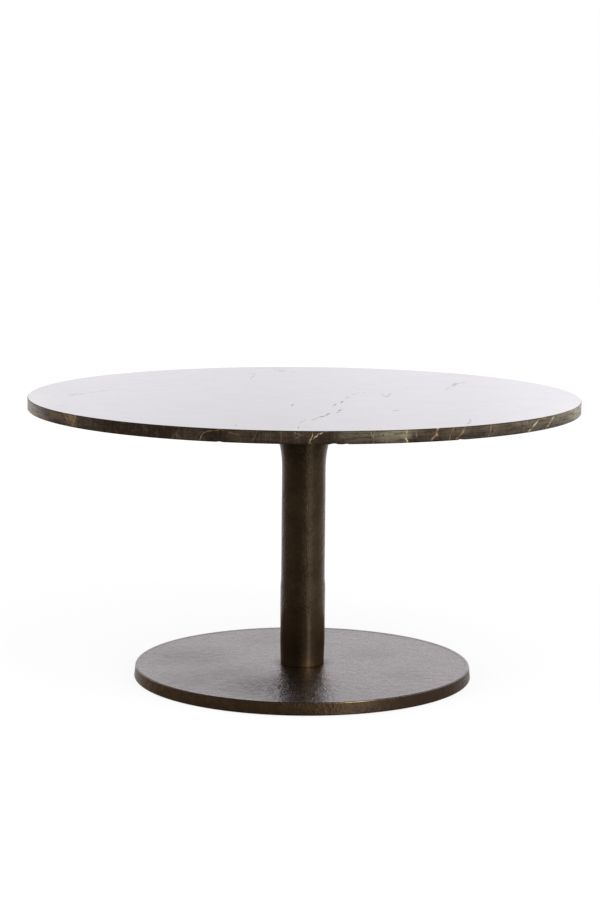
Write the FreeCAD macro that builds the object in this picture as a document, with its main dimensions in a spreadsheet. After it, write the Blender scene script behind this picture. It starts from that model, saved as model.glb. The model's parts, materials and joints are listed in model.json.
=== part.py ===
import FreeCAD, Part
import math
import os
import re
import Sketcher

# Round cocktail table: a marble disc on a cast trumpet column and a cast foot disc,
# clamped together by one tie rod. Origin on the floor under the middle, +Z up, millimetres.

# Driving sizes
SIZES = {
    "table_height": 416,
    # Marble top
    "top_diameter": 800,
    "top_thickness": 17.5,
    "top_arris": 0.8,
    # Threaded inserts bonded into the marble
    "insert_wall": 1.4,
    "insert_length": 9,
    "insert_bond_gap": 0.1,
    "insert_hole_spare": 1,
    # Rubber rings between plate and marble
    "pad_diameter": 30,
    "pad_thickness": 2,
    "pad_bore_clearance": 3,
    # Screws from below, with their washers
    "fixing_count": 6,
    "screw_diameter": 6,
    "screw_head_diameter": 10.5,
    "screw_head_height": 3.3,
    "screw_head_bevel": 1.2,
    "screw_socket_flats": 4,
    "screw_socket_depth": 2,
    "screw_tip_chamfer": 0.6,
    "screw_engagement": 6,
    "screw_hole_clearance": 0.6,
    "screw_washer_diameter": 12,
    "screw_washer_thickness": 1.6,
    # Steel plate, and the turned hub that hangs in it by a flange
    "plate_diameter": 320,
    "plate_thickness": 6,
    "plate_arris": 1,
    "screw_inset": 30,
    "hub_flange_width": 6,
    "hub_flange_thickness": 3,
    "hub_web": 8,
    "hub_fit": 0.1,
    # Cast column
    "shaft_diameter": 64,
    "column_wall": 6,
    "foot_draw": 0.8,
    "foot_chamfer": 0.3,
    "swell_rise": 0.8,
    "swell_start": 35,
    "swell_end": 118,
    "swell_blend": 7,
    "flare_height": 80,
    "rim_diameter": 137,
    "rim_lip": 5,
    "spigot_clearance": 0.25,
    # Tie rod with its nuts and washers
    "rod_diameter": 12,
    "rod_chamfer": 1,
    "rod_end": 1.5,
    "rod_hole_clearance": 1,
    "thread_clearance": 0.2,
    "nut_flats": 18,
    "nut_height": 10,
    "nut_face_diameter": 17,
    "nut_bevel_angle": 30,
    "nut_blank_spare": 1,
    "rod_washer_diameter": 24,
    "rod_washer_thickness": 2.5,
    "spring_washer_diameter": 21,
    "spring_washer_thickness": 2.5,
    "spring_split_angle": 8,
    "base_washer_diameter": 36,
    "base_washer_thickness": 3,
    "nut_room": 4,
    "rod_headroom": 0.5,
    # Cast foot disc
    "base_diameter": 495,
    "base_thickness": 18,
    "base_draft": 1.6,
    "base_arris": 1.5,
    "base_toe": 2.5,
    "spigot_height": 8,
    "centre_land_width": 38,
    "rim_land_margin": 20,
    "underside_relief": 3,
    # Floor glides in pockets under the foot disc
    "glide_count": 6,
    "glide_diameter": 40,
    "glide_thickness": 3,
    "glide_proud": 1,
    "glide_bevel": 0.6,
    "glide_margin": 16.5,
    "glide_pocket_clearance": 0.2,
}

# Sizes worked out from the driving ones
FITS = {
    # Levels of the stack, from the floor up
    "base_top": "glide_proud + base_thickness",
    "column_top": "table_height - top_thickness - pad_thickness - plate_thickness",
    "plate_top": "column_top + plate_thickness",
    "stone_underside": "plate_top + pad_thickness",
    # Column
    "column_length": "column_top - base_top",
    "shaft_radius": "shaft_diameter / 2",
    "swell_radius": "shaft_radius + swell_rise",
    "foot_radius": "swell_radius - foot_draw",
    "rim_radius": "rim_diameter / 2",
    "bore_radius": "shaft_radius - column_wall",
    "spigot_radius": "bore_radius - spigot_clearance",
    "flare_start": "column_length - flare_height",
    # Tie rod and what it passes through
    "rod_foot": "glide_proud + rod_headroom",
    "rod_length": "plate_top - rod_headroom - rod_foot",
    "rod_radius": "rod_diameter / 2",
    "rod_hole_radius": "(rod_diameter + rod_hole_clearance) / 2",
    "nut_bore": "rod_diameter + thread_clearance",
    "nut_blank_radius": "nut_flats / sqrt(3) + nut_blank_spare",
    "nut_bevel": "(nut_blank_radius - nut_face_diameter / 2) * tan(nut_bevel_angle * 1 deg)",
    "nut_stack": "nut_height + rod_end + rod_headroom",
    "washer_bore": "rod_diameter + rod_hole_clearance",
    # Plate and hub
    "counterbore_radius": "rod_washer_diameter / 2 + nut_room",
    "counterbore_depth": "rod_washer_thickness + nut_stack",
    "hub_flange_radius": "spigot_radius + hub_flange_width",
    "hub_height": "counterbore_depth + hub_web",
    "screw_circle": "plate_diameter / 2 - screw_inset",
    "screw_hole": "screw_diameter + screw_hole_clearance",
    "insert_bore": "screw_diameter + thread_clearance",
    "insert_diameter": "insert_bore + 2 * insert_wall",
    "screw_reach": "screw_washer_thickness + plate_thickness + pad_thickness + screw_engagement",
    "screw_length": "screw_head_height + screw_reach",
    "screw_head_edge": "screw_circle + screw_head_diameter / 2",
    "screw_shank_edge": "screw_circle + screw_diameter / 2",
    # Foot disc
    "base_radius": "base_diameter / 2",
    "recess_radius": "base_washer_diameter / 2 + nut_room",
    "recess_depth": "base_washer_thickness + spring_washer_thickness + nut_stack",
    "centre_land_radius": "recess_radius + centre_land_width",
    "glide_radius": "glide_diameter / 2",
    "glide_circle": "base_radius - glide_margin - glide_radius",
    "glide_pocket_depth": "glide_thickness - glide_proud",
    "rim_land_radius": "glide_circle - glide_radius - rim_land_margin",
}

doc = FreeCAD.newDocument("round_cocktail_table")
sheet = doc.addObject("Spreadsheet::Sheet", "Sizes")
for row, (alias, number) in enumerate(SIZES.items(), start=1):
    sheet.set(f"A{row}", alias)
    sheet.set(f"B{row}", str(number))
    sheet.setAlias(f"B{row}", alias)
doc.recompute()

# Every finished sub-part, in the order it is made
subparts = []


def formula(text):
    """Turn a formula written in size names into an expression on the sheet."""
    def spell(match):
        word = match.group()
        if word in FITS:
            return "(" + formula(FITS[word]) + ")"
        if word in SIZES:
            return "Sizes." + word
        return word
    return re.sub(r"[a-z]\w*", spell, text)


def value(text):
    return float(sheet.evalExpression(formula(text)))


def bind(item, target, text):
    item.setExpression(target, formula(text))


def new_body(label, height="0"):
    """An empty body whose own zero level stands at the given height above the floor."""
    body = doc.addObject("PartDesign::Body", label)
    body.Label = label
    bind(body, "Placement.Base.z", height)
    subparts.append(body)
    return body


def new_sketch(body, name, role):
    sketch = body.newObject("Sketcher::SketchObject", name)
    plane = next(item for item in body.Origin.OriginFeatures if item.Role == role)
    sketch.AttachmentSupport = (plane, [""])
    sketch.MapMode = "FlatFace"
    return sketch


def constrain(sketch, text, *where):
    """Add one constraint of size and bind it to a formula."""
    index = sketch.addConstraint(Sketcher.Constraint(*where, value(text)))
    bind(sketch, f"Constraints[{index}]", text)


def place_point(sketch, edge, end, across, up):
    """Hold one end of an edge at a radius and a height, on the axes where these are zero."""
    for kind, text, axis in (("DistanceX", across, -2), ("DistanceY", up, -1)):
        if text == "0":
            sketch.addConstraint(Sketcher.Constraint("PointOnObject", edge, end, axis))
        else:
            constrain(sketch, text, kind, -1, 1, edge, end)


def half_section(body, name, corners, flare=None):
    """Closed half section of a turned form. The edge from corner number flare on is a quarter ellipse."""
    sketch = new_sketch(body, name, "XZ_Plane")
    points = [FreeCAD.Vector(value(across), value(up), 0) for across, up in corners]
    count = len(points)
    for index, start in enumerate(points):
        finish = points[(index + 1) % count]
        if index == flare:
            middle = FreeCAD.Vector(finish.x, start.y, 0)
            ellipse = Part.Ellipse(finish, start, middle)
            edge = Part.ArcOfEllipse(ellipse, 0, math.pi / 2)
        else:
            edge = Part.LineSegment(start, finish)
        sketch.addGeometry(edge)
    # An elliptic arc runs from its far corner back to its near one
    near = [2 if index == flare else 1 for index in range(count)]
    far = [1 if index == flare else 2 for index in range(count)]
    for index in range(count):
        after = (index + 1) % count
        kind = "Tangent" if after == flare else "Coincident"
        sketch.addConstraint(Sketcher.Constraint(kind, index, far[index], after, near[after]))
        place_point(sketch, index, near[index], *corners[index])
    # Both ends of the quarter stand square to its centre, which is point 3 of the arc
    if flare is not None:
        sketch.addConstraint(Sketcher.Constraint("Vertical", flare, far[flare], flare, 3))
        sketch.addConstraint(Sketcher.Constraint("Horizontal", flare, near[flare], flare, 3))
    return sketch


def circles(body, name, diameters, circle="0"):
    """Concentric circles on the body's zero level, their centre out along X by a pitch radius."""
    sketch = new_sketch(body, name, "XY_Plane")
    centre = FreeCAD.Vector(value(circle), 0, 0)
    for diameter in diameters:
        edge = sketch.addGeometry(Part.Circle(centre, FreeCAD.Vector(0, 0, 1), value(diameter) / 2))
        place_point(sketch, edge, 3, circle, "0")
        constrain(sketch, diameter, "Diameter", edge)
    return sketch


def hexagon(body, name, flats, circle="0", around=None):
    """A regular hexagon on the body's zero level, within a circle where the outside is to be cut away."""
    sketch = new_sketch(body, name, "XY_Plane")
    upright = FreeCAD.Vector(0, 0, 1)
    centre = FreeCAD.Vector(value(circle), 0, 0)
    reach = value(flats) / math.sqrt(3)
    guide = sketch.addGeometry(Part.Circle(centre, upright, reach), True)
    place_point(sketch, guide, 3, circle, "0")
    constrain(sketch, f"2 * {flats} / sqrt(3)", "Diameter", guide)
    spoke = FreeCAD.Vector(reach, 0, 0)
    corners = [centre + FreeCAD.Rotation(upright, 60 * step).multVec(spoke) for step in range(6)]
    sides = [sketch.addGeometry(Part.LineSegment(corners[step - 1], corners[step])) for step in range(6)]
    for step, side in enumerate(sides):
        sketch.addConstraint(Sketcher.Constraint("Coincident", sides[step - 1], 2, side, 1))
        sketch.addConstraint(Sketcher.Constraint("PointOnObject", side, 1, guide))
        if step:
            sketch.addConstraint(Sketcher.Constraint("Equal", sides[0], side))
    sketch.addConstraint(Sketcher.Constraint("PointOnObject", sides[0], 2, -1))
    if around:
        rim = sketch.addGeometry(Part.Circle(centre, upright, value(around)))
        place_point(sketch, rim, 3, circle, "0")
        constrain(sketch, around, "Radius", rim)
    return sketch


def turn(body, sketch, angle="360", axis="V_Axis"):
    feature = body.newObject("PartDesign::Revolution", "Turned")
    feature.Profile = sketch
    feature.ReferenceAxis = (sketch, [axis])
    bind(feature, "Angle", angle)
    doc.recompute()
    return feature


def pad(body, sketch, length):
    feature = body.newObject("PartDesign::Pad", "Pad")
    feature.Profile = sketch
    bind(feature, "Length", length)
    doc.recompute()
    return feature


def drill_up(body, sketch, depth=None):
    """Cut upwards from the body's zero level, right through where no depth is given."""
    before = body.Shape.Volume
    feature = body.newObject("PartDesign::Pocket", "Pocket")
    feature.Profile = sketch
    feature.Reversed = True
    if depth is None:
        feature.Type = "ThroughAll"
    else:
        bind(feature, "Length", depth)
    doc.recompute()
    if not body.Shape.Volume < before:
        raise RuntimeError(f"{body.Label}: a hole cut nothing")
    return feature


def repeat_round(body, features, count):
    """Repeat features evenly round the upright axis."""
    pattern = body.newObject("PartDesign::PolarPattern", "Round")
    pattern.Originals = features
    pattern.Axis = (next(item for item in body.Origin.OriginFeatures if item.Role == "Z_Axis"), [""])
    pattern.Angle = 360
    bind(pattern, "Occurrences", count)
    body.Tip = pattern
    doc.recompute()
    return pattern


def dress_rims(body, kind, size, rims):
    """Fillet or chamfer the full circular edges of the given radius and height."""
    tip = body.Tip
    wanted = [(value(radius), value(height)) for radius, height in rims]
    names = []
    for number, edge in enumerate(tip.Shape.Edges, start=1):
        if not isinstance(edge.Curve, Part.Circle):
            continue
        for radius, height in wanted:
            same_radius = math.isclose(edge.Curve.Radius, radius, rel_tol=1e-6)
            same_height = math.isclose(edge.Curve.Center.z, height, rel_tol=1e-6, abs_tol=1e-6)
            if same_radius and same_height:
                names.append(f"Edge{number}")
    feature = body.newObject("PartDesign::" + kind, kind)
    feature.Base = (tip, names)
    bind(feature, "Radius" if kind == "Fillet" else "Size", size)
    doc.recompute()
    return feature


def ring(label, outer, inner, thickness, height, circle="0", count=None):
    """A flat ring, or a group of them repeated round the upright axis."""
    body = new_body(label, height)
    blank = pad(body, circles(body, "Ring", [outer, inner], circle), thickness)
    if count:
        repeat_round(body, [blank], count)
    return body


def set_round(body, circle, index, count):
    """Stand one body on a pitch circle."""
    angle = f"{index} * 360 deg / {count}"
    bind(body, "Placement.Base.x", f"{circle} * cos({angle})")
    bind(body, "Placement.Base.y", f"{circle} * sin({angle})")


def nut(label, height):
    """A hexagon nut: a bored round blank with bevelled faces, its six flats cut away."""
    body = new_body(label, height)
    turn(body, half_section(body, "Blank", [
        ("nut_bore / 2", "0"),
        ("nut_face_diameter / 2", "0"),
        ("nut_blank_radius", "nut_bevel"),
        ("nut_blank_radius", "nut_height - nut_bevel"),
        ("nut_face_diameter / 2", "nut_height"),
        ("nut_bore / 2", "nut_height"),
    ]))
    drill_up(body, hexagon(body, "Flats", "nut_flats", around="nut_blank_radius + nut_blank_spare"))


def marble_top():
    body = new_body("marble_top", "stone_underside")
    pad(body, circles(body, "Disc", ["top_diameter"]), "top_thickness")
    rims = [("top_diameter / 2", "0"), ("top_diameter / 2", "top_thickness")]
    dress_rims(body, "Chamfer", "top_arris", rims)
    seat = circles(body, "InsertHole", ["insert_diameter + 2 * insert_bond_gap"], "screw_circle")
    hole = drill_up(body, seat, "insert_length + insert_hole_spare")
    repeat_round(body, [hole], "fixing_count")


def top_fixings():
    ring("top_inserts", "insert_diameter", "insert_bore", "insert_length", "stone_underside",
         "screw_circle", "fixing_count")
    for index in range(round(value("fixing_count"))):
        pad_bore = "screw_diameter + pad_bore_clearance"
        cushion = ring(f"top_pad_{index + 1}", "pad_diameter", pad_bore, "pad_thickness", "plate_top")
        set_round(cushion, "screw_circle", index, "fixing_count")
    washer_seat = "column_top - screw_washer_thickness"
    ring("top_washers", "screw_washer_diameter", "screw_hole", "screw_washer_thickness", washer_seat,
         "screw_circle", "fixing_count")
    screws = new_body("top_screws", f"{washer_seat} - screw_head_height")
    outline = [
        ("screw_circle", "0"),
        ("screw_head_edge - screw_head_bevel", "0"),
        ("screw_head_edge", "screw_head_bevel"),
        ("screw_head_edge", "screw_head_height"),
        ("screw_shank_edge", "screw_head_height"),
        ("screw_shank_edge", "screw_length - screw_tip_chamfer"),
        ("screw_shank_edge - screw_tip_chamfer", "screw_length"),
        ("screw_circle", "screw_length"),
    ]
    screw = turn(screws, half_section(screws, "Screw", outline), axis=f"Edge{len(outline)}")
    key = hexagon(screws, "Socket", "screw_socket_flats", "screw_circle")
    socket = drill_up(screws, key, "screw_socket_depth")
    repeat_round(screws, [screw, socket], "fixing_count")


def top_plate():
    body = new_body("top_plate", "column_top")
    hub_seat = "plate_thickness - hub_flange_thickness"
    turn(body, half_section(body, "Plate", [
        ("spigot_radius + hub_fit", "0"),
        ("plate_diameter / 2", "0"),
        ("plate_diameter / 2", "plate_thickness"),
        ("hub_flange_radius + hub_fit", "plate_thickness"),
        ("hub_flange_radius + hub_fit", hub_seat),
        ("spigot_radius + hub_fit", hub_seat),
    ]))
    rims = [("plate_diameter / 2", "0"), ("plate_diameter / 2", "plate_thickness")]
    dress_rims(body, "Chamfer", "plate_arris", rims)
    hole = drill_up(body, circles(body, "ScrewHole", ["screw_hole"], "screw_circle"))
    repeat_round(body, [hole], "fixing_count")


def top_hub():
    body = new_body("top_hub", "plate_top - hub_height")
    flange_seat = "hub_height - hub_flange_thickness"
    turn(body, half_section(body, "Hub", [
        ("rod_hole_radius", "0"),
        ("spigot_radius", "0"),
        ("spigot_radius", flange_seat),
        ("hub_flange_radius", flange_seat),
        ("hub_flange_radius", "hub_height"),
        ("counterbore_radius", "hub_height"),
        ("counterbore_radius", "hub_web"),
        ("rod_hole_radius", "hub_web"),
    ]))


def column():
    body = new_body("column", "base_top")
    wall = [
        ("bore_radius", "0"),
        ("foot_radius - foot_chamfer", "0"),
        ("foot_radius", "foot_chamfer"),
        ("swell_radius", "swell_start"),
        ("swell_radius", "swell_end"),
        ("shaft_radius", "swell_end + swell_blend"),
        ("shaft_radius", "flare_start"),
        ("rim_radius", "column_length - rim_lip"),
        ("rim_radius", "column_length"),
        ("bore_radius", "column_length"),
    ]
    trumpet = wall.index(("shaft_radius", "flare_start"))
    turn(body, half_section(body, "TrumpetWall", wall, trumpet))


def tie_rod():
    body = new_body("tie_rod", "rod_foot")
    turn(body, half_section(body, "Rod", [
        ("0", "0"),
        ("rod_radius - rod_chamfer", "0"),
        ("rod_radius", "rod_chamfer"),
        ("rod_radius", "rod_length - rod_chamfer"),
        ("rod_radius - rod_chamfer", "rod_length"),
        ("0", "rod_length"),
    ]))


def rod_hardware():
    top_seat = "plate_top - counterbore_depth"
    ring("rod_top_washer", "rod_washer_diameter", "washer_bore", "rod_washer_thickness", top_seat)
    nut("rod_top_nut", f"{top_seat} + rod_washer_thickness")
    washer_seat = "glide_proud + recess_depth - base_washer_thickness"
    spring_seat = f"{washer_seat} - spring_washer_thickness"
    ring("base_washer", "base_washer_diameter", "washer_bore", "base_washer_thickness", washer_seat)
    spring = new_body("base_spring_washer", spring_seat)
    turn(spring, half_section(spring, "SpringSection", [
        ("washer_bore / 2", "0"),
        ("spring_washer_diameter / 2", "0"),
        ("spring_washer_diameter / 2", "spring_washer_thickness"),
        ("washer_bore / 2", "spring_washer_thickness"),
    ]), "360 - spring_split_angle")
    nut("base_nut", f"{spring_seat} - nut_height")


def base_disc():
    body = new_body("base_disc", "glide_proud")
    crown = "base_thickness + spigot_height"
    upper_radius = "base_radius - base_draft"
    turn(body, half_section(body, "DiscSection", [
        ("rod_hole_radius", "recess_depth"),
        ("recess_radius", "recess_depth"),
        ("recess_radius", "0"),
        ("centre_land_radius", "0"),
        ("centre_land_radius", "underside_relief"),
        ("rim_land_radius", "underside_relief"),
        ("rim_land_radius", "0"),
        ("base_radius", "0"),
        (upper_radius, "base_thickness"),
        ("spigot_radius", "base_thickness"),
        ("spigot_radius", crown),
        ("rod_hole_radius", crown),
    ]))
    dress_rims(body, "Fillet", "base_arris", [(upper_radius, "base_thickness")])
    dress_rims(body, "Fillet", "base_toe", [("base_radius", "0")])
    pocket_width = "glide_diameter + 2 * glide_pocket_clearance"
    pocket_outline = circles(body, "GlidePocket", [pocket_width], "glide_circle")
    pocket = drill_up(body, pocket_outline, "glide_pocket_depth")
    repeat_round(body, [pocket], "glide_count")


def base_glides():
    for index in range(round(value("glide_count"))):
        body = new_body(f"base_glide_{index + 1}")
        turn(body, half_section(body, "Glide", [
            ("0", "0"),
            ("glide_radius - glide_bevel", "0"),
            ("glide_radius", "glide_bevel"),
            ("glide_radius", "glide_thickness"),
            ("0", "glide_thickness"),
        ]))
        set_round(body, "glide_circle", index, "glide_count")


def write_subparts():
    """Stop on any failed feature, then write each sub-part to its own file."""
    doc.recompute()
    for item in doc.Objects:
        if "Invalid" in item.State or "Error" in item.State:
            raise RuntimeError(f"{item.Label} failed: {item.State}")
    for item in subparts:
        if item.Shape.isNull() or not item.Shape.isValid():
            raise RuntimeError(f"{item.Label} has no valid shape")
    os.makedirs("parts", exist_ok=True)
    for item in subparts:
        item.Shape.exportStep(f"parts/{item.Label}.step")
        print(item.Label, len(item.Shape.Solids), round(item.Shape.Volume), item.Shape.BoundBox)


marble_top()
top_fixings()
top_plate()
top_hub()
column()
tie_rod()
rod_hardware()
base_disc()
base_glides()
write_subparts()
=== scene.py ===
import json
import math

import bmesh
import bpy
from mathutils import Matrix, Vector, noise


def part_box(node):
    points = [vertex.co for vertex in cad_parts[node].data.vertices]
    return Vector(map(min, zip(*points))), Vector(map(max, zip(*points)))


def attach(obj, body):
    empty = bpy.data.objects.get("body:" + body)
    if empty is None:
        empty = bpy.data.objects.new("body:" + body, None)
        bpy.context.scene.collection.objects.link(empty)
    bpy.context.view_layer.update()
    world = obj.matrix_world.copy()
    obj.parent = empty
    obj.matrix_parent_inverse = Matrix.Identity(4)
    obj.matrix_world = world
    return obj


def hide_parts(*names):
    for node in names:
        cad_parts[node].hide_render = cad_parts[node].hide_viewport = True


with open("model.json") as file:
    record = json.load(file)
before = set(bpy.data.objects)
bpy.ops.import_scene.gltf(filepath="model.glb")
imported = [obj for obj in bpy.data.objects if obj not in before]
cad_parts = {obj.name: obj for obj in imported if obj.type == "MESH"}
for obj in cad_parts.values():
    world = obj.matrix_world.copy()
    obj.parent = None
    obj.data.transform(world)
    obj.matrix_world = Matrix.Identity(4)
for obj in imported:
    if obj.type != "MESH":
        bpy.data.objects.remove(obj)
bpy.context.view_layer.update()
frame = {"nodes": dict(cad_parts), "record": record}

# Round cocktail table, metres, +Z up. The marble, the column and the foot disc are made again here
# in finer detail; the pieces inside and underneath keep the shapes of the frame.


def reach(low, high):
    """Radius of a round piece that stays inside its box."""
    return min(-low.x, -low.y, high.x, high.y)


# Sizes that the finer forms share with the frame
TOP_LOW, TOP_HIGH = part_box("marble_top")
COLUMN_LOW, COLUMN_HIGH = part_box("column")
BASE_LOW, BASE_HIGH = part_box("base_disc")
TOP_RADIUS = reach(TOP_LOW, TOP_HIGH)
TOP_ARRIS = 0.0008
INSERT_HOLE_RADIUS = 0.0046
INSERT_HOLE_DEPTH = 0.010
FIXING_CIRCLE = 0.130
FIXING_COUNT = 6
FOOT_RADIUS = 0.0320
FOOT_CHAMFER = 0.0003
SWELL_RADIUS = 0.0328
SWELL_START = 0.035
SWELL_END = 0.118
SWELL_BLEND = 0.007
SHAFT_RADIUS = 0.032
FLARE_HEIGHT = 0.080
RIM_RADIUS = reach(COLUMN_LOW, COLUMN_HIGH)
RIM_LIP = 0.005
BORE_RADIUS = 0.026
BASE_RADIUS = reach(BASE_LOW, BASE_HIGH)
BASE_THICKNESS = 0.018
BASE_DRAFT = 0.0016
BASE_ARRIS = 0.0015
BASE_TOE = 0.0025
SPIGOT_RADIUS = 0.02575
ROD_HOLE_RADIUS = 0.0065
NUT_RECESS_RADIUS = 0.022
NUT_RECESS_DEPTH = 0.0175
CENTRE_LAND_RADIUS = 0.060
RIM_LAND_RADIUS = 0.171
UNDERSIDE_RELIEF = 0.003
GLIDE_CIRCLE = 0.211
GLIDE_COUNT = 6
POCKET_RADIUS = 0.0202
POCKET_DEPTH = 0.002

# Details that only the finer forms carry: the softer end of the swelling and the lip on the foot's rim
SWELL_RUB = 0.004
LIP_HEIGHT = 0.0005
LIP_START = 0.0070
LIP_WIDTH = 0.0030
# Uneven skin of the castings: waves per metre with their height, and the run over which it sets in
COLUMN_WAVES = [(22, 0.00022), (120, 0.00007)]
COLUMN_ONSET = 0.01
BASE_WAVES = [(24, 0.00010), (70, 0.00004)]
BASE_ONSET = 0.02
# Small chips along the lower edge of the stone: bearing in degrees from the front, half width, depth
CHIPS = [
    (5.6, 0.006, 0.0011),
    (7.9, 0.004, 0.0008),
    (-16.0, 0.004, 0.0007),
    (31.0, 0.005, 0.0008),
    (118.0, 0.006, 0.0010),
    (-130.0, 0.005, 0.0009),
    (171.0, 0.004, 0.0008),
]
# Their depth varies round a level, with so many waves per metre
CHIP_LEVEL, CHIP_SWING, CHIP_WAVES = 0.7, 0.6, 400

# Fineness of the meshes
TOP_SEGMENTS = 1200
TOP_CORE_RADIUS = 0.05
COLUMN_SEGMENTS = 320
BASE_SEGMENTS = 480
HOLE_SEGMENTS = 48
SHARP_ANGLE = math.radians(32)
LEVEL_TOLERANCE = 1e-6


def ease(share):
    """A smooth step from 0 to 1."""
    return share * share * (3 - 2 * share)


def uneven(point, waves):
    """Height of a casting's skin at a point."""
    return sum(height * noise.noise(point * rate) for rate, height in waves)


def line(start, finish, steps):
    """Points along a straight run, without its last point."""
    return [
        tuple(a + (b - a) * step / steps for a, b in zip(start, finish))
        for step in range(steps)
    ]


def arc(centre, radius, start, finish, steps):
    """Points round an arc in degrees, both ends included. A pair of radii makes it an ellipse."""
    across, up = radius if isinstance(radius, tuple) else (radius, radius)
    turns = [math.radians(start + (finish - start) * step / steps) for step in range(steps + 1)]
    return [(centre[0] + across * math.cos(turn), centre[1] + up * math.sin(turn)) for turn in turns]


def new_object(name, mesh):
    data = bpy.data.meshes.new(name)
    bmesh.ops.recalc_face_normals(mesh, faces=mesh.faces)
    mesh.to_mesh(data)
    mesh.free()
    item = bpy.data.objects.new(name, data)
    bpy.context.scene.collection.objects.link(item)
    return item


def lathe(name, profile, segments, closed, shape):
    """Spin a profile of radius and height round the upright axis. A radius of zero is a pole."""
    mesh = bmesh.new()
    rings = []
    for radius, height in profile:
        count = segments if radius else 1
        ring = []
        for step in range(count):
            angle = 2 * math.pi * step / segments
            point = Vector((radius * math.cos(angle), radius * math.sin(angle), height))
            ring.append(mesh.verts.new(shape(point)))
        rings.append(ring)
    following = rings[1:] + rings[:1] if closed else rings[1:]
    for near, far in zip(rings, following):
        for step in range(segments):
            after = step + 1
            corners = [
                near[step % len(near)],
                near[after % len(near)],
                far[after % len(far)],
                far[step % len(far)],
            ]
            mesh.faces.new(list(dict.fromkeys(corners)))
    return new_object(name, mesh)


def carve_round(target, radius, low, high, circle, count):
    """Cut round holes, evenly spaced on a circle, out of a piece."""
    mesh = bmesh.new()
    for step in range(count):
        angle = 2 * math.pi * step / count
        place = Vector((circle * math.cos(angle), circle * math.sin(angle), (low + high) / 2))
        bmesh.ops.create_cone(mesh, cap_ends=True, segments=HOLE_SEGMENTS, radius1=radius,
                              radius2=radius, depth=high - low, matrix=Matrix.Translation(place))
    cutter = new_object("cutter", mesh)
    modifier = target.modifiers.new("holes", "BOOLEAN")
    modifier.object = cutter
    modifier.solver = "EXACT"
    depsgraph = bpy.context.evaluated_depsgraph_get()
    carved = bpy.data.meshes.new_from_object(target.evaluated_get(depsgraph))
    target.modifiers.clear()
    target.data = carved
    bpy.data.objects.remove(cutter)


def finish_piece(item, node, material):
    """Smooth the faces, keep the edges crisp, and let the piece stand for its node of the frame."""
    item.data.shade_smooth()
    item.data.set_sharp_from_angle(angle=SHARP_ANGLE)
    item.data.materials.clear()
    item.data.materials.append(material)
    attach(item, "root")
    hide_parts(node)


def marble_top(material):
    low, high = TOP_LOW.z, TOP_HIGH.z
    inner = TOP_RADIUS - TOP_ARRIS
    profile = [(0.0, low)]
    profile += line((TOP_CORE_RADIUS, low), (inner, low), steps=12)
    profile += line((inner, low), (TOP_RADIUS, low + TOP_ARRIS), steps=1)
    profile += line((TOP_RADIUS, low + TOP_ARRIS), (TOP_RADIUS, high - TOP_ARRIS), steps=8)
    profile += line((TOP_RADIUS, high - TOP_ARRIS), (inner, high), steps=1)
    profile += line((inner, high), (TOP_CORE_RADIUS, high), steps=12)
    profile += [(TOP_CORE_RADIUS, high), (0.0, high)]

    def chip(point):
        if point.z > low + 2 * TOP_ARRIS or point.xy.length < inner - TOP_ARRIS:
            return point
        bearing = math.atan2(point.x, -point.y)
        for degrees, width, depth in CHIPS:
            away = abs(math.remainder(bearing - math.radians(degrees), 2 * math.pi)) * TOP_RADIUS
            bite = max(0.0, 1 - (away / width) ** 2) * depth
            bite *= CHIP_LEVEL + CHIP_SWING * noise.noise(point * CHIP_WAVES)
            shrink = 1 - bite / TOP_RADIUS
            point = Vector((point.x * shrink, point.y * shrink, point.z + bite))
        return point

    item = lathe("marble_slab", profile, TOP_SEGMENTS, closed=False, shape=chip)
    carve_round(item, INSERT_HOLE_RADIUS, low - INSERT_HOLE_DEPTH, low + INSERT_HOLE_DEPTH,
                FIXING_CIRCLE, FIXING_COUNT)
    finish_piece(item, "marble_top", material)


def column(material):
    foot, top = COLUMN_LOW.z, COLUMN_HIGH.z
    flare = top - FLARE_HEIGHT
    swell_end = foot + SWELL_END - SWELL_RUB
    blend = SWELL_BLEND + 2 * SWELL_RUB
    blend_steps = 16
    profile = [(FOOT_RADIUS - FOOT_CHAMFER, foot)]
    profile += line((FOOT_RADIUS, foot + FOOT_CHAMFER), (SWELL_RADIUS, foot + SWELL_START), steps=16)
    profile += line((SWELL_RADIUS, foot + SWELL_START), (SWELL_RADIUS, swell_end), steps=38)
    for step in range(blend_steps):
        share = step / blend_steps
        radius = SWELL_RADIUS + (SHAFT_RADIUS - SWELL_RADIUS) * ease(share)
        profile.append((radius, swell_end + blend * share))
    profile += line((SHAFT_RADIUS, swell_end + blend), (SHAFT_RADIUS, flare), steps=76)
    trumpet = (RIM_RADIUS - SHAFT_RADIUS, FLARE_HEIGHT - RIM_LIP)
    profile += arc((RIM_RADIUS, flare), trumpet, 180, 90, steps=48)
    profile += [(RIM_RADIUS, top), (BORE_RADIUS, top), (BORE_RADIUS, foot)]

    def cast(point):
        """The slightly uneven skin that the sand mould leaves on the outside."""
        away = point.xy.length
        if away < FOOT_RADIUS - 2 * FOOT_CHAMFER or point.z > top - RIM_LIP:
            return point
        hold = min(1.0, (point.z - foot) / COLUMN_ONSET)
        growth = 1 + hold * uneven(point, COLUMN_WAVES) / away
        return Vector((point.x * growth, point.y * growth, point.z))

    item = lathe("cast_column", profile, COLUMN_SEGMENTS, closed=True, shape=cast)
    finish_piece(item, "column", material)


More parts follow.
